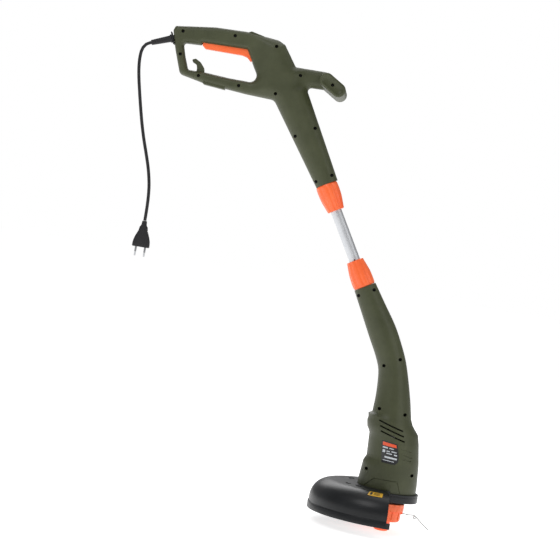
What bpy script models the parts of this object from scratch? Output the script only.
"""Corded string trimmer with a D-handle, a telescoping shaft and a turning cutting head.

Sizes are in millimetres and MM turns them into Blender's metres. Coordinates are written from the
spool's axis at the underside of the motor housing: +X points away from the user, +Z is up and the
two moulded halves of each housing meet at Y = 0. The root empty moves everything so that the
middle of the rear grip is the origin of the part.
"""

import math

import bmesh
import bpy
from mathutils import Matrix, Vector
from mathutils.geometry import delaunay_2d_cdt

MM = 0.001
GRIP_CENTRE = Vector((-470.0, 0.0, 835.0))

# Fits
GAP = 0.3  # between pieces that touch
RUNNING = 0.5  # round a piece that turns or slides
SPLIT = 0.15  # from the parting plane to each housing half

# Upper housing
WALL = 2.5
GRIP_DEPTH = 15.0  # half the thickness of the D-handle's bars
BODY_DEPTH = 24.0  # half the thickness at the barrel's root
ARM_DEPTH = 13.0
BAR_ROUNDING = 8.0
BODY_ROUNDING = 22.0
BARREL_RADIUS = 21.0
BARREL_ROOT, BARREL_ROUND = -190.8, -15.0  # along the shaft's axis, where it starts and is round
FRONT_GRIP_LENGTH = 110.0
FRONT_GRIP_CENTRE = (-237.0, 774.0)
FRONT_GRIP_SIZE = (59.0, 28.0)
FRONT_GRIP_SLOPE = -32.0

# Shaft and collars
BARREL_END = Vector((-219.6, 0.0, 580.87))
NECK_END = Vector((-110.4, 0.0, 391.73))  # where the lower housing is drawn
SHAFT_AXIS = Vector((0.5, 0.0, -math.sqrt(0.75)))
TUBE_RADIUS = 11.0
TUBE_WALL = 1.3
TUBE_IN_BARREL = 66.0
TUBE_IN_NECK = 30.0
TUBE_EXPOSED = 107.0
COLLAR_LENGTH = 54.5
COLLAR_GAP = 1.2  # between a collar and the housing it turns against
COLLAR_WIDE_RADIUS = 22.0
COLLAR_NARROW_RADIUS = 17.3
THREAD_RADIUS = 15.0
THREAD_LENGTH = 38.0
FLANGE_RADIUS = 16.3
LIP = 3.0  # wall at the barrel's end, round the collet
POCKET = 3.6  # room behind the lip for a flange
END_REACH = TUBE_EXPOSED / 2 + COLLAR_LENGTH + COLLAR_GAP  # from the middle to each housing
SHAFT_POINT = BARREL_END + SHAFT_AXIS * END_REACH
HEAD_SHIFT = SHAFT_POINT + SHAFT_AXIS * END_REACH - NECK_END  # 0 at the drawn shaft length

# Lower housing
HOUSING_WALL = 2.8
RING_RADIUS = 16.5
RING_HEIGHT = 6.5
RING_PLACE = 17.0  # from the neck's end down to the ring's pocket
VENT_COUNT = 3
VENT_LENGTH, VENT_PITCH, VENT_SLOPE = 52.0, 10.0, 16.0
LABEL_LOW, LABEL_HIGH = 56.0, 100.0
LABEL_LEFT, LABEL_WIDTH, LABEL_LEAN = -21.0, 34.0, -0.12

# Motor
STATOR_RADIUS = 36.5
STATOR_BOTTOM, STATOR_TOP = 34.0, 78.0
ARMATURE_RADIUS = 21.0
AIR_GAP = 1.0
MOTOR_SHAFT_RADIUS = 4.0
BEARING_RADIUS = 9.5
BEARING_HEIGHT = 6.0
FAN_RADIUS = 39.0
FAN_BLADES = 8

# Guard and spool
GUARD_RADIUS = 152.0
GUARD_RIM = -58.0
GUARD_WALL = 2.6
GUARD_TOP = 4.5
GUARD_SHOULDER = 40.0
GUARD_HOLE = 18.0
CUTTER_INNER = 126.0
GUARD_BAND = 14.0
GUARD_HALF_ANGLE = 95.0
GUARD_SETBACK = 7.0
SETBACK_FOOT = 11.5
FLANGE_OUTER = 62.5
FLANGE_DEPTH = 17.0
SPOOL_RADIUS = 39.0
COVER_RADIUS = 35.0
KNOB_RADIUS = 16.0
KNOB_BOTTOM = -82.0
HUB_RADIUS = 9.0
SPOOL_FLANGE_RADIUS = 31.0
LINE_RADIUS = 0.8
LINE_HEIGHT = -42.0
LINE_ROUTE = (
    (28, 0, LINE_HEIGHT), (34, 0, LINE_HEIGHT), (40, 0, LINE_HEIGHT), (51, 0, -43), (59, 0, -41.5),
    (66, 0, -45), (81, 0, -57), (93, 0, -66),
)

# Screws
HEAD_RADIUS = 2.9
HEAD_HEIGHT = 2.2
SHANK_RADIUS = 1.45
BOSS_RADIUS = 4.6

# Cord
CORD_RADIUS = 3.25
PLUG_TOP, PLUG_BASE = 450.0, 397.0
PLUG_WIDTH, PLUG_THICKNESS = 35.3, 13.7
PIN_SPACING, PIN_RADIUS, PIN_LENGTH = 18.6, 2.0, 19.0
CORD_STEP = 16.0
CORD_ROUTE = (
    (-556, 826.8), (-574.5, 820), (-596, 812.1), (-612, 806.2), (-618, 804), (-624.6, 799.2), (-629.5, 790),
    (-631.3, 776), (-630.5, 757), (-627, 734), (-621, 706), (-614, 676), (-606, 644),
    (-597, 613), (-587, 583), (-578, 554), (-571.5, 524), (-568.8, 498), (-568, 474),
    (-568, 450.4),
)

# Side outlines as (x, z, corner radius); the window runs clockwise and the others anticlockwise
UPPER_OUTLINE = (
    (-546, 752, 12), (-496, 741.5, 60), (-408, 733, 60), (-350, 730, 14), (-223, 549.4, 3),
    (-186.6, 570.4, 3), (-290.6, 765.5, 7), (-250, 766, 8), (-250, 802, 8), (-318, 802.5, 6),
    (-346, 843, 10), (-360, 850, 20), (-425, 857, 60), (-490, 856, 60), (-569.5, 846.5, 4),
    (-573, 837, 6), (-563, 800, 60),
)
WINDOW_OUTLINE = (
    (-548, 814.5, 5), (-513, 815.8, 1), (-509, 820, 1), (-419.5, 820.5, 4), (-383, 758, 13),
    (-450, 760, 20), (-495, 763.5, 20), (-531, 763.5, 7), (-541, 790, 60),
)
TRIGGER_OUTLINE = (
    (-509.5, 815.5, 1), (-503, 809.8, 1.5), (-428, 808.6, 14), (-417, 806, 8), (-409.5, 798.5, 1),
    (-405.5, 800.5, 1), (-405, 806, 2), (-411, 816, 2), (-412, 826, 1), (-494, 826, 1),
    (-499, 830.3, 2), (-505, 830.3, 2), (-509.5, 824, 2),
)
HOOK_OUTLINE = (
    (-514.5, 759.5, 0.5), (-497, 759.5, 0.5), (-499, 771, 8), (-508, 782, 10), (-519, 788, 3),
    (-526.5, 785, 2.5), (-523, 779.5, 2.5), (-515.5, 776, 4), (-513.5, 768, 6),
)

# Trigger and switch
TRIGGER_PIVOT = Vector((-502.0, 0.0, 826.0))
TRIGGER_WIDTH = 13.0
TRUNNION_RADIUS, TRUNNION_REACH = 2.3, 11.2
SWITCH_X, SWITCH_BOTTOM, SWITCH_TOP = -420.0, 833.0, 849.0
PLUNGER_RADIUS, PLUNGER_LENGTH = 2.4, 11.4

# Cord exit
EXIT_POINT = Vector((-574.5, 0.0, 820.0))
EXIT_AXIS = Vector((-0.9385, 0.0, -0.3452)).normalized()
RELIEF_ROOT_RADIUS, RELIEF_TIP_RADIUS, RELIEF_LENGTH = 6.2, 4.9, 41.0

# Lower housing's sections as (left x, left z, right x, right z, half depth)
LOWER_SECTIONS = (
    (-129.5, 380.75, -90.5, 403.25, 22.5), (-110, 343, -66, 367, 24.5),
    (-87, 298, -38, 326, 26.5), (-67, 260, -19, 290, 29), (-57, 234, -5, 258, 31.5),
    (-54, 205, 7, 219, 35), (-53.5, 176, 18, 176, 40), (-55, 150, 24.5, 145, 45.5),
    (-61, 146, 29.5, 133.5, 49), (-61, 124, 43, 116.5, 52.5), (-54, 108, 47.5, 98, 54),
    (-52, 62, 53.5, 60, 56), (-57, 52, 54.5, 50, 57), (-61, 14, 57, 14, 59),
    (-61, 0, 57, 0, 59),
)

# Screws of both housings as (x, z)
UPPER_SCREWS = (
    (-552, 837), (-447, 844), (-361, 835), (-550, 791), (-507, 754), (-424, 747), (-348, 742),
    (-305, 786), (-259, 687), (-296, 665), (-211, 600), (-240.5, 582.3),
)
LOWER_SCREWS = (
    (-119.6, 372.5), (-90.8, 389), (-47, 244), (-17, 261), (-42, 159), (10, 155), (-48, 38),
    (43, 39),
)
HEAD_FACE = -11.0
SCREW_TIP = 9.0
GRIP_HEAD_FACE = -46.0
GUARD_SCREW = (-36.0, -40.0)

MATERIALS = {
    "olive_plastic": ("4E513B", 0.45, 0.0),
    "orange_plastic": ("F2622E", 0.4, 0.0),
    "black_plastic": ("1E2023", 0.38, 0.0),
    "cord_rubber": ("2A2A2C", 0.6, 0.0),
    "aluminium": ("D8D9DA", 0.25, 1.0),
    "steel": ("A9ABAD", 0.3, 1.0),
    "black_steel": ("2B2B2D", 0.4, 0.8),
    "copper": ("B4683C", 0.35, 1.0),
    "carbon": ("1A1A1A", 0.7, 0.0),
    "nylon_line": ("D9D9D2", 0.35, 0.0),
    "label_film": ("17181A", 0.3, 0.0),
}

Y_AXIS = Vector((0.0, 1.0, 0.0))
Z_AXIS = Vector((0.0, 0.0, 1.0))


def srgb_to_linear(value):
    """One colour channel from sRGB, 0 to 1, to the linear value that a shader takes."""
    return value / 12.92 if value <= 0.04045 else ((value + 0.055) / 1.055) ** 2.4


def make_material(name):
    """Principled material from the table of colours, roughness and metallic values."""
    if name in bpy.data.materials:
        return bpy.data.materials[name]
    code, roughness, metallic = MATERIALS[name]
    channels = [srgb_to_linear(int(code[i : i + 2], 16) / 255) for i in (0, 2, 4)]
    material = bpy.data.materials.new(name)
    material.use_nodes = True
    shader = material.node_tree.nodes["Principled BSDF"]
    shader.inputs["Base Color"].default_value = (*channels, 1)
    shader.inputs["Roughness"].default_value = roughness
    shader.inputs["Metallic"].default_value = metallic
    return material


def add_empty(name, place, parent=None):
    """Empty at a point in the trimmer's millimetres."""
    empty = bpy.data.objects.new(name, None)
    bpy.context.scene.collection.objects.link(empty)
    empty.location = place * MM
    empty.parent = parent
    return empty


class Builder:
    """Makes objects under the handle's or the head's empty, or under that of their joint."""

    def __init__(self):
        self.handle = add_empty("trimmer_root", -GRIP_CENTRE)
        self.head = add_empty("head_root", HEAD_SHIFT, self.handle)
        self.carrier = self.handle

    def joint(self, name, place):
        """Empty on a joint's axis."""
        return add_empty(name, place, self.carrier)

    def add(self, name, bm, material, joint=None):
        """Object from a bmesh in the trimmer's millimetres."""
        parent = joint or self.carrier
        origin = joint.location if joint else Vector()
        bmesh.ops.remove_doubles(bm, verts=bm.verts, dist=1e-4)
        bmesh.ops.recalc_face_normals(bm, faces=bm.faces)
        for vert in bm.verts:
            vert.co = vert.co * MM - origin
        mesh = bpy.data.meshes.new(name)
        bm.to_mesh(mesh)
        bm.free()
        mesh.shade_smooth()
        mesh.set_sharp_from_angle(angle=math.radians(35))
        obj = bpy.data.objects.new(name, mesh)
        bpy.context.scene.collection.objects.link(obj)
        obj.parent = parent
        if material:
            mesh.materials.append(make_material(material))
        return obj

    def helper(self, name, bm):
        """Object that only shapes others."""
        obj = self.add(name, bm, None)
        obj.hide_render = True
        obj.display_type = "WIRE"
        return obj


def combine(obj, other, operation):
    """Boolean with another object, kept as a modifier."""
    modifier = obj.modifiers.new(operation.lower(), "BOOLEAN")
    modifier.operation = operation
    modifier.object = other
    modifier.solver = "EXACT"
    modifier.use_self = True
    other.hide_render = True
    other.display_type = "WIRE"


def rounded(corners, arc_step=30.0, longest=None):
    """Outline through the given corners, each rounded to its radius, as a list of (x, z)."""
    points = []
    count = len(corners)
    for i, (x, z, radius) in enumerate(corners):
        corner = Vector((x, z))
        before = (Vector(corners[i - 1][:2]) - corner).normalized()
        after = (Vector(corners[(i + 1) % count][:2]) - corner).normalized()
        opening = before.angle(after)
        reach = radius / math.tan(opening / 2)
        centre = corner + (before + after).normalized() * radius / math.sin(opening / 2)
        start = corner + before * reach - centre
        turn = start.angle_signed(corner + after * reach - centre)
        steps = max(1, math.ceil(abs(math.degrees(turn)) / arc_step))
        for step in range(steps + 1):
            points.append(centre + Matrix.Rotation(-turn * step / steps, 2) @ start)
    if longest is None:
        return points
    spaced = []
    for i, point in enumerate(points):
        following = points[(i + 1) % len(points)]
        parts = max(1, math.ceil((following - point).length / longest))
        spaced += [point.lerp(following, part / parts) for part in range(parts)]
    return spaced


def axis_matrix(place, axis):
    """Transform that takes local Z onto an axis and the local origin onto a point."""
    turn = Z_AXIS.rotation_difference(Vector(axis)).to_matrix().to_4x4()
    return Matrix.Translation(place) @ turn


def turned(profile, segments=24, place=Vector(), axis=Z_AXIS, sweep=360.0, start=0.0, bm=None):
    """Solid of revolution from a profile of (radius, height); the profile closes on itself."""
    made = bmesh.new()
    turn = Matrix.Rotation(math.radians(start), 4, "Z")
    verts = [made.verts.new(turn @ Vector((radius, 0, height))) for radius, height in profile]
    on_axis = profile[0][0] == 0 and profile[-1][0] == 0
    pairs = list(zip(verts, verts[1:])) + ([] if on_axis else [(verts[-1], verts[0])])
    edges = [made.edges.new(pair) for pair in pairs]
    full = sweep >= 360
    first = None if full else made.faces.new(verts)
    bmesh.ops.spin(
        made,
        geom=verts + edges,
        cent=(0, 0, 0),
        axis=(0, 0, 1),
        angle=math.radians(sweep),
        steps=segments,
        use_merge=full,
    )
    if first:
        end = Matrix.Rotation(math.radians(sweep), 4, "Z") @ turn
        corners = [end @ Vector((radius, 0, height)) for radius, height in profile]
        made.faces.new([made.verts.new(corner) for corner in corners])
    bmesh.ops.remove_doubles(made, verts=made.verts, dist=1e-4)
    bmesh.ops.recalc_face_normals(made, faces=made.faces)
    return merged(bm, made, axis_matrix(place, axis))


def merged(bm, made, matrix=Matrix()):
    """The made bmesh, moved by a matrix and added to bm if there is one."""
    made.transform(matrix)
    if bm is None:
        return made
    mesh = bpy.data.meshes.new("shared")
    made.to_mesh(mesh)
    made.free()
    bm.from_mesh(mesh)
    bpy.data.meshes.remove(mesh)
    return bm


def cylinder(radius, low, high, segments=12, place=Vector(), axis=Z_AXIS, bm=None):
    """Cylinder between two heights along an axis through a point."""
    profile = [(0, high), (radius, high), (radius, low), (0, low)]
    return turned(profile, segments, place, axis, bm=bm)


def prism(outline, low, high, bm=None):
    """Outline in X and Z, extruded along Y."""
    made = bmesh.new()
    face = made.faces.new([made.verts.new((x, low, z)) for x, z in outline])
    grown = bmesh.ops.extrude_face_region(made, geom=[face])["geom"]
    moved = [item for item in grown if isinstance(item, bmesh.types.BMVert)]
    bmesh.ops.translate(made, verts=moved, vec=(0, high - low, 0))
    bmesh.ops.recalc_face_normals(made, faces=made.faces)
    return merged(bm, made)


def block(low, high, matrix=Matrix(), bevel=0.0, bm=None):
    """Box between two corners, with its edges bevelled."""
    made = bmesh.new()
    bmesh.ops.create_cube(made, size=1)
    low, high = Vector(low), Vector(high)
    for vert in made.verts:
        share = vert.co + Vector((0.5, 0.5, 0.5))
        vert.co = [low[i] + (high[i] - low[i]) * share[i] for i in range(3)]
    if bevel:
        bmesh.ops.bevel(made, geom=made.edges[:], offset=bevel, segments=1, affect="EDGES")
    return merged(bm, made, matrix)


def loft(rings, bm=None):
    """Closed solid through rings of points, with flat ends."""
    made = bmesh.new()
    rows = [[made.verts.new(point) for point in ring] for ring in rings]
    for row, following in zip(rows, rows[1:]):
        for i, vert in enumerate(row):
            j = (i + 1) % len(row)
            made.faces.new((vert, row[j], following[j], following[i]))
    made.faces.new(rows[0])
    made.faces.new(rows[-1][::-1])
    bmesh.ops.triangulate(made, faces=made.faces)
    bmesh.ops.recalc_face_normals(made, faces=made.faces)
    return merged(bm, made)


def blend(value, low, high):
    """0 below low, 1 above high and a smooth step between."""
    share = min(max((value - low) / (high - low), 0.0), 1.0)
    return share * share * (3 - 2 * share)


def body_size(x, z):
    """Half thickness and edge rounding of the upper housing at a point."""
    body = blend(x, -412, -362)
    depth = GRIP_DEPTH + (BODY_DEPTH - GRIP_DEPTH) * body
    reach = BAR_ROUNDING + (BODY_ROUNDING - BAR_ROUNDING) * body
    down = blend((Vector((x, 0, z)) - BARREL_END).dot(SHAFT_AXIS), BARREL_ROOT, BARREL_ROUND)
    depth += (BARREL_RADIUS - depth) * down * body
    reach += (BARREL_RADIUS - 0.5 - reach) * down * body
    arm = blend(x, -325, -295) * blend(z, 752, 768)
    return depth + (ARM_DEPTH - depth) * arm, reach + (12 - reach) * arm


def edge_distance(point, loops):
    """Distance from a point to the nearest edge of the loops."""
    best = math.inf
    for loop in loops:
        for start, end in zip(loop, loop[1:] + loop[:1]):
            edge = end - start
            share = min(max((point - start).dot(edge) / edge.length_squared, 0.0), 1.0)
            best = min(best, (point - start - edge * share).length)
    return best


def inside(point, loop):
    """Whether a point is inside a loop."""
    crossings = False
    for start, end in zip(loop, loop[1:] + loop[:1]):
        if (start.y > point.y) != (end.y > point.y):
            at = start.x + (point.y - start.y) * (end.x - start.x) / (end.y - start.y)
            crossings ^= point.x < at
    return crossings


def inward(loop):
    """Unit normal at each point of a loop, to its left, which is into the material."""
    normals = []
    for i in range(len(loop)):
        along = (loop[(i + 1) % len(loop)] - loop[i - 1]).normalized()
        normals.append(Vector((-along.y, along.x)))
    return normals


def swollen(loops, inset, angles, grid):
    """Solid between mirrored rounded sides; its outline is the loops moved in by inset."""
    rims = [
        [point + normal * inset for point, normal in zip(loop, inward(loop))] for loop in loops
    ]
    points = [point for rim in rims for point in rim]
    edges = []
    for rim in rims:
        first = len(edges)
        edges += [(first + i, first + (i + 1) % len(rim)) for i in range(len(rim))]
    for angle in angles:
        for loop in loops:
            for point, normal in zip(loop, inward(loop)):
                reach = body_size(*point)[1] - inset
                distance = inset + reach * (1 - math.cos(math.radians(angle)))
                place = point + normal * distance
                if edge_distance(place, loops) > distance - 0.4 and inside(place, loops[0]):
                    points.append(place)
    left, right = min(p.x for p in rims[0]), max(p.x for p in rims[0])
    low, high = min(p.y for p in rims[0]), max(p.y for p in rims[0])
    for row in range(int((high - low) / grid)):
        for column in range(int((right - left) / grid)):
            place = Vector((left + (column + 0.5 * (row % 2)) * grid, low + row * grid))
            in_window = any(inside(place, loop) for loop in loops[1:])
            reach = body_size(*place)[1]
            clear = inside(place, loops[0]) and not in_window
            if clear and edge_distance(place, loops) > reach + grid / 3:
                points.append(place)
    verts, _, faces, *_ = delaunay_2d_cdt(points, edges, [], 0, 1e-3)
    bm = bmesh.new()
    top, bottom = [], []
    for vert in verts:
        depth, reach = body_size(*vert)
        share = min((edge_distance(vert, loops) - inset) / (reach - inset), 1.0)
        height = (depth - inset) * math.sqrt(max(1 - (1 - share) ** 2, 0.0))
        on_rim = share < 0.01
        top.append(bm.verts.new((vert.x, 0 if on_rim else height, vert.y)))
        bottom.append(top[-1] if on_rim else bm.verts.new((vert.x, -height, vert.y)))
    for face in faces:
        middle = sum((verts[i] for i in face), Vector((0, 0))) / 3
        flat = all(top[i] is bottom[i] for i in face)
        if flat or not inside(middle, rims[0]) or any(inside(middle, rim) for rim in rims[1:]):
            continue
        bm.faces.new([top[i] for i in face])
        bm.faces.new([bottom[i] for i in reversed(face)])
    loose = [vert for vert in bm.verts if not vert.link_faces]
    bmesh.ops.delete(bm, geom=loose, context="VERTS")
    bmesh.ops.recalc_face_normals(bm, faces=bm.faces)
    return bm


def screw_bores(places, head_face=HEAD_FACE, bm=None):
    """Stepped bores along Y for screws whose heads face -Y."""
    seat = head_face + HEAD_HEIGHT + GAP
    profile = [
        (0, 80), (HEAD_RADIUS + 0.5, 80), (HEAD_RADIUS + 0.5, -seat),
        (SHANK_RADIUS + 0.5, -seat), (SHANK_RADIUS + 0.5, -SCREW_TIP - 0.5),
        (0, -SCREW_TIP - 0.5),
    ]
    for x, z in places:
        bm = turned(profile, 6, Vector((x, 0, z)), -Y_AXIS, bm=bm)
    return bm


def bosses(places, reach, bm=None):
    """Posts along Y round the screws, as long as the housing is thick."""
    for x, z in places:
        bm = cylinder(BOSS_RADIUS, -reach, reach, 7, Vector((x, 0, z)), Y_AXIS, bm)
    return bm


def add_screws(build, part, places, head_face=HEAD_FACE):
    """One screw along Y in each place."""
    inner = head_face + HEAD_HEIGHT
    profile = [
        (0, -head_face), (HEAD_RADIUS * 0.8, -head_face), (HEAD_RADIUS, -head_face - 0.7),
        (HEAD_RADIUS, -inner), (SHANK_RADIUS, -inner), (SHANK_RADIUS, -SCREW_TIP + 1),
        (0, -SCREW_TIP),
    ]
    for number, (x, z) in enumerate(places, 1):
        bm = turned(profile, 6, Vector((x, 0, z)), -Y_AXIS)
        build.add(f"{part}_screw_{number:02d}", bm, "black_steel")


def add_halves(build, name, outer, cavity, filled, cuts):
    """Left and right moulded halves of a housing: outer less its cavity and its cuts.

    Each solid in filled is kept out of the cavity, as a boss or a rib. The shapes within one
    solid of filled or of cuts don't touch each other.
    """
    hollow = build.helper(f"{name}_cavity", cavity)
    for number, solid in enumerate(filled):
        combine(hollow, build.helper(f"{name}_filled_{number}", solid), "DIFFERENCE")
    cutters = [build.helper(f"{name}_cut_{number}", solid) for number, solid in enumerate(cuts)]
    mesh = build.helper(f"{name}_outer", outer).data
    for side, sign in (("left", 1), ("right", -1)):
        obj = bpy.data.objects.new(f"{name}_shell_{side}", mesh.copy())
        bpy.context.scene.collection.objects.link(obj)
        obj.parent = build.carrier
        obj.data.materials.clear()
        obj.data.materials.append(make_material("olive_plastic"))
        low, high = sorted((SPLIT * sign, -400 * sign))
        half = build.helper(f"{name}_{side}_split", block((-900, low, -100), (200, high, 1000)))
        for other in (hollow, *cutters, half):
            combine(obj, other, "DIFFERENCE")


def unite(build, base, others, name):
    """Bmesh of a base solid joined to overlapping solids."""
    obj = build.helper(f"{name}_base", base)
    for number, other in enumerate(others):
        combine(obj, build.helper(f"{name}_{number}", other), "UNION")
    graph = bpy.context.evaluated_depsgraph_get()
    graph.update()
    evaluated = obj.evaluated_get(graph)
    bm = bmesh.new()
    bm.from_mesh(evaluated.to_mesh())
    evaluated.to_mesh_clear()
    for helper in [modifier.object for modifier in obj.modifiers] + [obj]:
        bpy.data.objects.remove(helper)
    for vert in bm.verts:
        vert.co /= MM
    bmesh.ops.triangulate(bm, faces=bm.faces)
    return bm


def front_grip(inset):
    """Stadium-shaped bar across the arm's end, with rounded ends."""
    length, height = FRONT_GRIP_SIZE
    radius = height / 2 - inset
    half = (length - height) / 2
    slope = math.radians(FRONT_GRIP_SLOPE)
    end = FRONT_GRIP_LENGTH / 2 - inset

    def ring(y, shrink):
        points = []
        for step in range(16):
            angle = 2 * math.pi * (step + 0.5) / 16 - math.pi / 2
            side = half if step < 8 else -half
            x = side + (radius - shrink) * math.cos(angle)
            z = (radius - shrink) * math.sin(angle)
            points.append(
                (
                    FRONT_GRIP_CENTRE[0] + x * math.cos(slope) - z * math.sin(slope),
                    y,
                    FRONT_GRIP_CENTRE[1] + x * math.sin(slope) + z * math.cos(slope),
                )
            )
        return points

    rings = [ring(-end, 3), ring(-end + 3, 0), ring(end - 3, 0), ring(end, 3)]
    return loft(rings)


def build_upper_housing(build):
    """D-handle, barrel, front arm and front grip as two halves."""
    loops = [rounded(UPPER_OUTLINE, 45, 27), rounded(WINDOW_OUTLINE, 45, 30)]
    outer = unite(build, swollen(loops, 0, (36, 88), 40), [front_grip(0)], "upper_outside")
    inner = unite(build, swollen(loops, WALL, (40, 88), 40), [front_grip(WALL)], "upper_inside")
    posts = bosses(UPPER_SCREWS + (FRONT_GRIP_CENTRE,), 60)
    for low, high in ((TRIGGER_WIDTH / 2 + 1.3, 60), (-60, -TRIGGER_WIDTH / 2 - 1.3)):
        cylinder(BOSS_RADIUS + 0.6, low, high, 10, TRIGGER_PIVOT, Y_AXIS, posts)
    discs = cylinder(60, -LIP, 1, 16, BARREL_END, SHAFT_AXIS)
    cylinder(60, -LIP - POCKET - 2.5, -LIP - POCKET, 16, BARREL_END, SHAFT_AXIS, discs)

    bores = screw_bores(UPPER_SCREWS)
    screw_bores((FRONT_GRIP_CENTRE,), GRIP_HEAD_FACE, bores)
    reach = TRUNNION_REACH + 0.5
    cylinder(TRUNNION_RADIUS + RUNNING, -reach, reach, 12, TRIGGER_PIVOT, Y_AXIS, bores)
    slot = TRIGGER_WIDTH / 2 + 0.7
    slots = prism([(-513, 806), (-400, 797), (-400, 827.5), (-513, 827.5)], -slot, slot)
    prism([(-515, 759.2), (-496.4, 759.2), (-496.4, 772), (-515, 772)], -2.9, 2.9, slots)
    cylinder(RELIEF_ROOT_RADIUS + RUNNING, -17, 5, 14, EXIT_POINT, EXIT_AXIS, slots)
    end = cylinder(60, 0, 70, 16, BARREL_END, SHAFT_AXIS)
    collet = cylinder(THREAD_RADIUS + RUNNING, -LIP - 1, 5, 24, BARREL_END, SHAFT_AXIS)
    tube = cylinder(
        TUBE_RADIUS + RUNNING, -LIP - POCKET - 5, -LIP - 2, 24, BARREL_END, SHAFT_AXIS
    )
    cuts = [bores, slots, end, collet, tube]
    add_halves(build, "upper", outer, inner, [posts, discs], cuts)
    add_screws(build, "upper", UPPER_SCREWS)
    add_screws(build, "front_grip", (FRONT_GRIP_CENTRE,), GRIP_HEAD_FACE)


def build_trigger(build):
    """Trigger with its trunnions, return spring, switch and plunger."""
    joint = build.joint("trigger_pivot", TRIGGER_PIVOT)
    half = TRIGGER_WIDTH / 2
    lever = prism(rounded(TRIGGER_OUTLINE), -half, half)
    trunnions = cylinder(TRUNNION_RADIUS, -TRUNNION_REACH, TRUNNION_REACH, 10,
                         TRIGGER_PIVOT, Y_AXIS)
    build.add("trigger", unite(build, lever, [trunnions], "trigger_shape"), "orange_plastic", joint)

    plunger_bottom = TRIGGER_PIVOT.z + 0.5
    place = Vector((SWITCH_X, 0, 0))
    joint = build.joint("plunger_axis", place)
    bm = cylinder(PLUNGER_RADIUS, plunger_bottom, plunger_bottom + PLUNGER_LENGTH, 12, place)
    build.add("switch_plunger", bm, "black_plastic", joint)
    case = block((SWITCH_X - 14, -9, SWITCH_BOTTOM), (SWITCH_X + 14, 9, SWITCH_TOP), bevel=1)
    body = build.add("switch_body", case, "black_plastic")
    bore = cylinder(PLUNGER_RADIUS + RUNNING, SWITCH_BOTTOM - 5, SWITCH_TOP - 2.5, 12, place)
    combine(body, build.helper("plunger_bore", bore), "DIFFERENCE")
    build.add("trigger_spring", coil(Vector((-475, 0, 826.8)), 3.6, 0.55, 25.5, 4), "steel")


def coil(place, radius, wire, height, turns, sides=4, steps=8):
    """Coil spring standing on a point."""
    rings = []
    rise = height - 2 * wire
    count = turns * steps
    for step in range(count + 1):
        angle = 2 * math.pi * step / steps
        centre = Vector((math.cos(angle), math.sin(angle), 0)) * radius
        centre.z = wire + rise * step / count
        out = Vector((math.cos(angle), math.sin(angle), 0))
        ring = []
        for side in range(sides):
            turn = 2 * math.pi * side / sides
            ring.append(place + centre + (out * math.cos(turn) + Z_AXIS * math.sin(turn)) * wire)
        rings.append(ring)
    return loft(rings)


def build_cord(build):
    """Cord hook, exit clamp, strain relief, cord and plug."""
    build.add("cord_hook", prism(rounded(HOOK_OUTLINE), -2.5, 2.5), "olive_plastic")
    bore = CORD_RADIUS + 0.4
    root, tip = RELIEF_ROOT_RADIUS, RELIEF_TIP_RADIUS
    profile = [
        (bore, -17), (8.5, -17), (8.5, -14.5), (root, -14.5), (root, -1.5), (8.5, -1.5),
        (8.5, 1.5), (root, 1.5), (tip, RELIEF_LENGTH), (bore + 0.5, RELIEF_LENGTH),
    ]
    build.add("strain_relief", turned(profile, 16, EXIT_POINT, EXIT_AXIS), "cord_rubber")
    plate = block((-13, -8.5, -4.6), (13, 8.5, -1.9), axis_matrix(EXIT_POINT, EXIT_AXIS), 1.0)
    clamp = build.add("cord_clamp", plate, "black_plastic")
    hole = cylinder(root + 0.5, -9, 0, 16, EXIT_POINT, EXIT_AXIS)
    combine(clamp, build.helper("clamp_hole", hole), "DIFFERENCE")

    curve = bpy.data.curves.new("power_cord", "CURVE")
    curve.dimensions = "3D"
    curve.bevel_depth = CORD_RADIUS * MM
    curve.bevel_resolution = 2
    curve.use_fill_caps = True
    points = smooth_route([Vector((x, 0, z)) for x, z in CORD_ROUTE], CORD_STEP)
    spline = curve.splines.new("POLY")
    spline.points.add(len(points) - 1)
    for target, point in zip(spline.points, points):
        target.co = (*(point * MM), 1)
    cord = bpy.data.objects.new("power_cord", curve)
    bpy.context.scene.collection.objects.link(cord)
    cord.parent = build.carrier
    curve.materials.append(make_material("cord_rubber"))

    x = CORD_ROUTE[-1][0]
    sections = (
        (PLUG_TOP, 9.0, 9.0), (PLUG_TOP - 8, 10.5, 9.6), (PLUG_TOP - 12, 16.0, 10.5),
        (PLUG_TOP - 26, 24.0, 12.6), (PLUG_TOP - 40, 33.5, PLUG_THICKNESS),
        (PLUG_BASE + 2, PLUG_WIDTH, PLUG_THICKNESS), (PLUG_BASE, PLUG_WIDTH - 3, PLUG_THICKNESS - 3),
    )
    rings = []
    for z, width, thickness in sections:
        ring = []
        for step in range(16):
            angle = 2 * math.pi * (step + 0.5) / 16
            across, through = math.cos(angle), math.sin(angle)
            square = (abs(across) ** 3.2 + abs(through) ** 3.2) ** (-1 / 3.2)
            ring.append((x + across * square * width / 2, through * square * thickness / 2, z))
        rings.append(ring)
    plug = build.add("plug_body", loft(rings), "cord_rubber")
    bores = None
    for side, sign in (("a", -1), ("b", 1)):
        place = Vector((x + sign * PIN_SPACING / 2, 0, 0))
        bores = cylinder(PIN_RADIUS + 0.4, PLUG_BASE - 5, PLUG_BASE + 8, 10, place, bm=bores)
        low, high = PLUG_BASE - PIN_LENGTH, PLUG_BASE + 7.5
        profile = [
            (0, high), (PIN_RADIUS, high), (PIN_RADIUS, low + 1), (PIN_RADIUS * 0.6, low), (0, low),
        ]
        build.add(f"plug_pin_{side}", turned(profile, 10, place), "steel")
    combine(plug, build.helper("pin_bores", bores), "DIFFERENCE")


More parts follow.
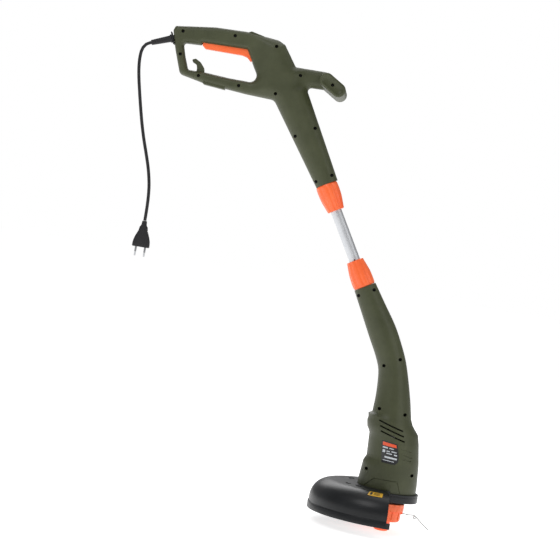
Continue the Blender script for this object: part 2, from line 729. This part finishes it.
def smooth_route(knots, step):
    """Points at an even step along a smooth curve through the knots."""
    padded = [knots[0] * 2 - knots[1], *knots, knots[-1] * 2 - knots[-2]]
    fine = []
    for a, b, c, d in zip(padded, padded[1:], padded[2:], padded[3:]):
        for part in range(12):
            t = part / 12
            fine.append(
                ((b * 2) + (c - a) * t + (a * 2 - b * 5 + c * 4 - d) * t**2
                 + (b * 3 - a - c * 3 + d) * t**3) / 2
            )
    fine.append(knots[-1])
    total = sum((b - a).length for a, b in zip(fine, fine[1:]))
    count = round(total / step)
    spaced, travelled = [fine[0]], 0.0
    for a, b in zip(fine, fine[1:]):
        travelled += (b - a).length
        if travelled >= total * len(spaced) / count and len(spaced) < count:
            spaced.append(b)
    return [*spaced, knots[-1]]


def build_shaft(build):
    """Collet, both twist collars, the tube and the ring that holds the head on it."""
    joint = build.joint("shaft_axis", SHAFT_POINT)
    bore = TUBE_RADIUS + RUNNING
    low, high = END_REACH + LIP + GAP, END_REACH + LIP + POCKET - GAP
    profile = [
        (bore, -high), (FLANGE_RADIUS, -high), (FLANGE_RADIUS, -low), (THREAD_RADIUS, -low),
        (THREAD_RADIUS, THREAD_LENGTH - END_REACH), (bore, THREAD_LENGTH - END_REACH),
    ]
    build.add("upper_collet", turned(profile, 24, SHAFT_POINT, SHAFT_AXIS), "black_plastic")

    wide = TUBE_EXPOSED / 2 + COLLAR_LENGTH
    wide_radius, narrow_radius = COLLAR_WIDE_RADIUS, COLLAR_NARROW_RADIUS
    shape = (
        (0, 0.955), (1.5, 1), (12, 1.012), (26, 0.985), (39, 0.89), (49, 0.8),
        (COLLAR_LENGTH, narrow_radius / wide_radius - 0.01),
    )
    thread_end = THREAD_LENGTH + 1.5
    for name, sign in (("upper_collar", -1), ("lower_collar", 1)):
        profile = [(wide_radius * share, sign * (wide - at)) for at, share in shape]
        profile += [
            (bore, sign * (wide - COLLAR_LENGTH)), (bore, sign * (wide - thread_end - 3)),
            (THREAD_RADIUS + RUNNING, sign * (wide - thread_end)),
            (THREAD_RADIUS + RUNNING, sign * wide),
        ]
        bm = turned(profile, 20, SHAFT_POINT, SHAFT_AXIS)
        build.add(name, bm, "orange_plastic", joint)

    top, bottom = -END_REACH - TUBE_IN_BARREL, END_REACH + TUBE_IN_NECK
    profile = [
        (TUBE_RADIUS - TUBE_WALL, top), (TUBE_RADIUS, top), (TUBE_RADIUS, bottom),
        (TUBE_RADIUS - TUBE_WALL, bottom),
    ]
    build.add("shaft_tube", turned(profile, 24, SHAFT_POINT, SHAFT_AXIS), "aluminium", joint)
    ring_top = END_REACH + RING_PLACE + 0.5
    profile = [
        (TUBE_RADIUS + GAP, ring_top), (RING_RADIUS, ring_top),
        (RING_RADIUS, ring_top + RING_HEIGHT), (TUBE_RADIUS + GAP, ring_top + RING_HEIGHT),
    ]
    build.add("tube_end_ring", turned(profile, 20, SHAFT_POINT, SHAFT_AXIS), "steel", joint)


def housing_rings(inset, extra=0.0):
    """Rings of the lower housing's outside, or of its inside when inset."""
    rings = []
    for left_x, left_z, right_x, right_z, depth in LOWER_SECTIONS:
        left, right = Vector((left_x, 0, left_z)), Vector((right_x, 0, right_z))
        centre, half = (left + right) / 2, (right - left) / 2
        half *= (half.length - inset) / half.length
        ring = []
        for step in range(18):
            angle = 2 * math.pi * step / 18
            ring.append(centre + half * math.cos(angle) + Y_AXIS * (depth - inset) * math.sin(angle))
        rings.append(ring)
    if extra:
        up, down = -SHAFT_AXIS * extra, -Z_AXIS * extra
        rings.insert(0, [point + up for point in rings[0]])
        rings.append([point + down for point in rings[-1]])
    return rings


def build_lower_housing(build):
    """Neck and motor housing as two halves, with the thread for the lower collar."""
    thread = cylinder(THREAD_RADIUS, -THREAD_LENGTH, 8, 24, NECK_END, SHAFT_AXIS)
    outer = unite(build, loft(housing_rings(0)), [thread], "lower_outside")
    inner = loft(housing_rings(HOUSING_WALL, 5))

    posts = bosses(LOWER_SCREWS, 70)
    x, y = GUARD_SCREW
    cylinder(BOSS_RADIUS, -8, 12, 8, Vector((x, y, 0)), bm=posts)
    ribs = cylinder(60, -10, LIP, 16, NECK_END, SHAFT_AXIS)
    ring_bottom = RING_PLACE + RING_HEIGHT + 1
    for low, high in ((RING_PLACE - 7, RING_PLACE), (ring_bottom, ring_bottom + 3)):
        cylinder(40, low, high, 16, NECK_END, SHAFT_AXIS, ribs)
    for bore, low, high in (
        (STATOR_RADIUS + 1, 42, 45), (STATOR_RADIUS + 1, 70, 73),
        (BEARING_RADIUS + RUNNING, 98, 104.5),
    ):
        turned([(bore, low), (90, low), (90, high), (bore, high)], 18, bm=ribs)

    holes = screw_bores(LOWER_SCREWS)
    cylinder(SHANK_RADIUS + 0.4, -5, 10, 8, Vector((x, y, 0)), bm=holes)
    reach = THREAD_LENGTH + 5
    cylinder(TUBE_RADIUS + RUNNING, -reach, TUBE_IN_NECK + 1, 24, NECK_END, SHAFT_AXIS, holes)
    tilt = Matrix.Rotation(math.radians(VENT_SLOPE), 4, "Y")
    vents = None
    for number in range(VENT_COUNT):
        place = Vector((-13.5 + 3.2 * number, 0, 130.3 - VENT_PITCH * number))
        slot = Matrix.Translation(place) @ tilt
        half = VENT_LENGTH / 2
        vents = block((-half, -70, -1.5), (half, 70, 1.5), slot, bm=vents)
    add_halves(build, "lower", outer, inner, [posts, ribs], [holes, vents])
    add_screws(build, "lower", LOWER_SCREWS)

    rings = []
    for z in (LABEL_LOW, (LABEL_LOW + LABEL_HIGH) / 2, LABEL_HIGH):
        lean = (z - LABEL_LOW) * LABEL_LEAN
        places = [LABEL_LEFT + lean + LABEL_WIDTH * step / 5 for step in range(6)]
        ring = [Vector((px, -housing_depth(px, z) - GAP, z)) for px in places]
        ring += [Vector((px, -housing_depth(px, z) - GAP - 0.5, z)) for px in reversed(places)]
        rings.append(ring)
    build.add("rating_label", loft(rings), "label_film")


def housing_depth(x, z):
    """Half thickness of the motor housing at a point of its side view."""
    sections = [row for row in LOWER_SECTIONS if row[1] < 130]
    for upper, lower in zip(sections, sections[1:]):
        share = (upper[1] - z) / (upper[1] - lower[1])
        if 0 <= share <= 1:
            left, _, right, _, depth = [a + (b - a) * share for a, b in zip(upper, lower)]
            middle, half = (left + right) / 2, (right - left) / 2
            return depth * math.sqrt(1 - ((x - middle) / half) ** 2)
    raise ValueError(f"{z} is outside the motor housing")


def build_motor(build):
    """Stator, brushes and bearings in the housing; armature, shaft and fan on the rotor."""
    spin = build.joint("rotor_axis", Vector())
    profile = [
        (ARMATURE_RADIUS + AIR_GAP, STATOR_BOTTOM), (STATOR_RADIUS, STATOR_BOTTOM),
        (STATOR_RADIUS, STATOR_TOP), (ARMATURE_RADIUS + AIR_GAP, STATOR_TOP),
    ]
    build.add("stator", turned(profile, 24), "steel")
    bearing = [
        (MOTOR_SHAFT_RADIUS + GAP, 0), (BEARING_RADIUS, 0), (BEARING_RADIUS, BEARING_HEIGHT),
        (MOTOR_SHAFT_RADIUS + GAP, BEARING_HEIGHT),
    ]
    for name, z in (("upper_bearing", 98.3), ("lower_bearing", 20.0)):
        build.add(name, turned(bearing, 14, Vector((0, 0, z))), "steel")
    cup = BEARING_RADIUS + GAP
    profile = [
        (cup, 20), (14, 20), (14, 29.5), (STATOR_RADIUS, 30.2), (STATOR_RADIUS, STATOR_BOTTOM - GAP),
        (11, STATOR_BOTTOM - GAP), (6, 29), (6, 26.3), (cup, 26.3),
    ]
    build.add("bearing_bracket", turned(profile, 20), "aluminium")
    for name, sign in (("brush_front", 1), ("brush_rear", -1)):
        near, far = sorted((sign * 12.8, sign * 34))
        build.add(name, block((near, -5, 84), (far, 5, 91), bevel=0.8), "carbon")

    bore = MOTOR_SHAFT_RADIUS + GAP
    profile = [
        (bore, 36), (15, 36.5), (17, 41), (ARMATURE_RADIUS, 42), (ARMATURE_RADIUS, 74), (17, 75),
        (15, 80), (8, 81), (8, 83), (12.3, 83), (12.3, 93), (bore, 93),
    ]
    build.add("armature", turned(profile, 20), "copper", spin)
    build.add("motor_shaft", cylinder(MOTOR_SHAFT_RADIUS, -40, 107, 12), "steel", spin)
    hub = turned([(bore, 4), (10, 4), (10, 18), (bore, 18)], 16)
    blades = []
    disc = turned([(9, 5), (FAN_RADIUS, 5), (FAN_RADIUS, 6.6), (9, 6.6)], 24)
    for number in range(FAN_BLADES):
        turn = Matrix.Rotation(2 * math.pi * number / FAN_BLADES, 4, "Z")
        blades.append(block((9, -0.8, 6), (FAN_RADIUS - 1, 0.8, 17), turn))
    build.add("cooling_fan", unite(build, hub, [disc, *blades], "fan_shape"), "black_plastic", spin)
    return spin


def build_guard(build):
    """Guard with its flange ring, line cutter and screw."""
    ring = [
        (GUARD_HOLE, -3.3), (FLANGE_OUTER - 2.8, -3.3), (FLANGE_OUTER - 2.8, -FLANGE_DEPTH),
        (FLANGE_OUTER, -FLANGE_DEPTH), (FLANGE_OUTER, -GAP), (GUARD_HOLE, -GAP),
    ]
    shoulder = GUARD_SHOULDER
    centre_r, centre_z = GUARD_RADIUS - shoulder, GUARD_TOP - shoulder
    outer, inner = [], []
    for step in range(5):
        angle = math.radians(90 - 22.5 * step)
        across, up = math.cos(angle), math.sin(angle)
        outer.append((centre_r + shoulder * across, centre_z + shoulder * up))
        less = shoulder - GUARD_WALL
        inner.append((centre_r + less * across, centre_z + less * up))
    band = GUARD_RIM + GUARD_BAND
    edge = FLANGE_OUTER - 0.7
    profile = [(edge, GUARD_TOP), *outer, (GUARD_RADIUS, band), (GUARD_RADIUS + 1.5, band - 1)]
    profile += [(GUARD_RADIUS + 1.5, GUARD_RIM), (GUARD_RADIUS + 1.5 - GUARD_WALL, GUARD_RIM)]
    profile += [(GUARD_RADIUS - GUARD_WALL, band), *reversed(inner)]
    profile += [(edge + GUARD_WALL, GUARD_TOP - GUARD_WALL), (edge + GUARD_WALL, -9), (edge, -9)]
    start = 180 - GUARD_HALF_ANGLE
    dome = turned(profile, 20, sweep=2 * GUARD_HALF_ANGLE, start=start)
    turn = Matrix.Rotation(math.radians(start), 4, "Z")
    inside_wall = GUARD_RADIUS - GUARD_WALL
    rib = block((CUTTER_INNER, 4, -54), (inside_wall + 1, 10, -36), turn)
    guard = unite(build, turned(ring, 32), [dome, rib], "guard_shape")
    obj = build.add("guard", guard, "black_plastic")
    far_end = Matrix.Rotation(math.radians(180 + GUARD_HALF_ANGLE), 4, "Z")
    setback = block(
        (FLANGE_OUTER + 1.5, -GUARD_SETBACK, GUARD_RIM + SETBACK_FOOT),
        (GUARD_RADIUS + 10, 20, GUARD_TOP + 5), far_end,
    )
    combine(obj, build.helper("guard_setback", setback), "DIFFERENCE")
    x, y = GUARD_SCREW
    hole = cylinder(SHANK_RADIUS + 0.5, -10, 5, 10, Vector((x, y, 0)))
    combine(obj, build.helper("guard_screw_hole", hole), "DIFFERENCE")
    blade = block((CUTTER_INNER - 6, 2, -55), (inside_wall - 0.8, 3.6, -36), turn)
    build.add("line_cutter", blade, "steel")
    profile = [
        (0, 8.5), (SHANK_RADIUS, 7.5), (SHANK_RADIUS, -3.7), (HEAD_RADIUS + 0.6, -3.7),
        (HEAD_RADIUS + 0.6, -6), (0, -6),
    ]
    build.add("guard_screw", turned(profile, 10, Vector((x, y, 0))), "black_steel")


def build_spool(build, spin):
    """Spool housing and cover, the line spool, its spring, the bump knob and the line."""
    bore = MOTOR_SHAFT_RADIUS + GAP
    profile = [
        (bore, -23), (SPOOL_RADIUS - 2, -23), (SPOOL_RADIUS, -25), (SPOOL_RADIUS, -38),
        (SPOOL_RADIUS - 2.5, -38), (SPOOL_RADIUS - 2.5, -26), (HUB_RADIUS, -26), (HUB_RADIUS, -49),
        (0, -49), (0, -41), (bore, -41),
    ]
    build.add("spool_housing", turned(closed_at_axis(profile), 32), "orange_plastic", spin)
    inner = COVER_RADIUS - 2.8
    profile = [
        (inner, -32), (SPOOL_RADIUS - 2.9, -32), (SPOOL_RADIUS - 2.9, -38.3), (COVER_RADIUS, -38.3),
        (COVER_RADIUS - 0.8, -56), (COVER_RADIUS - 3.5, -60), (KNOB_RADIUS + 0.7, -60),
        (KNOB_RADIUS + 0.7, -57.5), (inner - 0.6, -57.5),
    ]
    lug = block((inner + 0.4, -6, -43.6), (SPOOL_RADIUS - 1, 6, -38.4), bevel=1.4)
    cover = unite(build, turned(profile, 32), [lug], "cover_shape")
    cover = build.add("spool_cover", cover, "orange_plastic", spin)
    x_axis = Vector((1, 0, 0))
    eyelet = cylinder(LINE_RADIUS + 0.6, 25, 45, 10, Vector((0, 0, LINE_HEIGHT)), x_axis)
    combine(cover, build.helper("eyelet", eyelet), "DIFFERENCE")

    slide = build.joint("bump_axis", Vector((0, 0, KNOB_BOTTOM)))
    sleeve = HUB_RADIUS + RUNNING
    rim = SPOOL_FLANGE_RADIUS
    profile = [
        (sleeve, -34), (rim, -34), (rim, -36.5), (16, -36.5), (16, -52.5), (rim, -52.5), (rim, -55),
        (sleeve, -55),
    ]
    build.add("line_spool", turned(profile, 28), "black_plastic", slide)
    profile = [
        (0, -55.3), (KNOB_RADIUS, -55.3), (KNOB_RADIUS, KNOB_BOTTOM + 7),
        (KNOB_RADIUS - 1.8, KNOB_BOTTOM + 2.5), (KNOB_RADIUS - 5, KNOB_BOTTOM), (0, KNOB_BOTTOM),
    ]
    build.add("bump_knob", turned(profile, 28), "orange_plastic", slide)
    spring = coil(Vector((0, 0, -33.7)), HUB_RADIUS + 3, 0.6, 7.3, 2, steps=14)
    build.add("spool_spring", spring, "steel", spin)

    knots = [Vector(point) for point in LINE_ROUTE]
    rings = []
    points = smooth_route(knots, 5.0)
    for i, point in enumerate(points):
        along = (points[min(i + 1, len(points) - 1)] - points[max(i - 1, 0)]).normalized()
        up = Y_AXIS.cross(along)
        angles = [2 * math.pi * side / 6 for side in range(6)]
        rings.append([point + (Y_AXIS * math.cos(a) + up * math.sin(a)) * LINE_RADIUS for a in angles])
    build.add("cutting_line", loft(rings), "nylon_line", spin)


def closed_at_axis(profile):
    """Profile turned round so that its two points on the axis come first and last."""
    first = next(i for i, (radius, _) in enumerate(profile) if radius == 0)
    return profile[first + 1 :] + profile[: first + 1]


def main():
    """Clears the scene and builds the trimmer."""
    for obj in list(bpy.data.objects):
        bpy.data.objects.remove(obj)
    build = Builder()
    build_upper_housing(build)
    build_trigger(build)
    build_cord(build)
    build_shaft(build)
    build.carrier = build.head
    build_lower_housing(build)
    spin = build_motor(build)
    build_guard(build)
    build_spool(build, spin)


main()
